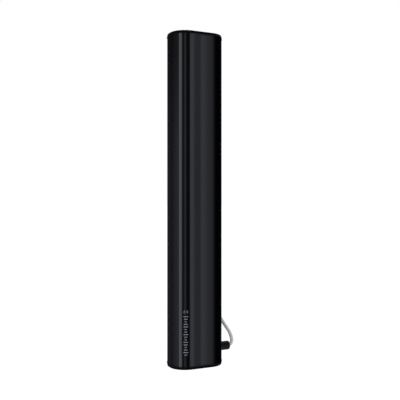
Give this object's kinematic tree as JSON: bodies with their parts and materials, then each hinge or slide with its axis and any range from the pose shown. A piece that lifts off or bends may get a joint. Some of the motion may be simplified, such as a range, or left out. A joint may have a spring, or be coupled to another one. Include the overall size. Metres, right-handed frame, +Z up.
{
  "type": "enclosed yagi antenna",
  "caption": "Slim enclosed outdoor television antenna: glossy rounded upright body, end caps, screwed coax socket with rubber boot and a coiled coax lead.",
  "frame": {"origin": "middle of the bottom cap's underside, where the body stands", "axes": "+Z up the long axis, +X to the narrow side with the coax socket, +Y to the back with the bracket inserts"},
  "size_m": [0.1312, 0.1576, 0.574],
  "materials": {
    "radome_gloss": "high gloss",
    "cap_gloss": "gloss",
    "seal_rubber": "matt",
    "screw_steel": "satin",
    "vent_grey": "matt",
    "carrier_plastic": "moulded",
    "element_aluminium": "mill",
    "insert_brass": "turned",
    "board_green": "solder resist",
    "nickel_plate": "nickel plated",
    "chip_black": "moulded",
    "ferrite": "ground",
    "dielectric_white": "smooth",
    "copper": "drawn",
    "boot_rubber": "satin",
    "cable_grey": "extruded jacket",
    "tie_black": "satin",
    "print_ink": "screen print"
  },
  "bodies": {
    "antenna": {"amp_board": "board_green", "amp_chips": "chip_black", "balun_core": "ferrite", "boom_lower": "carrier_plastic", "boom_screws": "screw_steel", "boom_upper": "carrier_plastic", "bottom_cap": "cap_gloss", "bottom_cap_screws": "screw_steel", "bottom_cap_seal": "seal_rubber", "carrier_foot_bottom": "carrier_plastic", "carrier_foot_top": "carrier_plastic", "carrier_rail": "element_aluminium", "coax_cable": "cable_grey", "coax_coil": "cable_grey", "coax_tail": "cable_grey", "coil_tie_left": "tie_black", "coil_tie_right": "tie_black", "dipole_lower": "element_aluminium", "dipole_upper": "element_aluminium", "director_lower": "element_aluminium", "director_upper": "element_aluminium", "far_plug_body": "nickel_plate", "far_plug_dielectric": "dielectric_white", "far_plug_pin": "copper", "feed_block_lower": "carrier_plastic", "feed_block_upper": "carrier_plastic", "feed_line_lower": "cable_grey", "feed_line_upper": "cable_grey", "mount_inserts": "insert_brass", "mount_plate": "element_aluminium", "plug_body": "nickel_plate", "plug_dielectric": "dielectric_white", "plug_pin": "copper", "radome": "radome_gloss", "rail_screws": "screw_steel", "reflector_lower": "element_aluminium", "reflector_upper": "element_aluminium", "shield_can": "nickel_plate", "socket_body": "nickel_plate", "socket_contact": "copper", "socket_insulator": "dielectric_white", "socket_nut": "nickel_plate", "socket_washer": "nickel_plate", "top_cap": "cap_gloss", "top_cap_screws": "screw_steel", "top_cap_seal": "seal_rubber", "vent_plug": "vent_grey", "weather_boot": "boot_rubber"},
    "near_nut": {"plug_nut": "nickel_plate"},
    "far_nut": {"far_plug_nut": "nickel_plate"}
  },
  "joints": [
    {"name": "plug_nut_spin", "type": "hinge", "parent": "antenna", "child": "near_nut", "pos_m": [0.0573, 0, 0.0273], "axis": [1, 0, 0], "continuous": true},
    {"name": "far_plug_nut_spin", "type": "hinge", "parent": "antenna", "child": "far_nut", "pos_m": [-0.0054, 0.04962, 0.0062], "axis": [-0.9477, 0.3192, 0], "continuous": true}
  ]
}
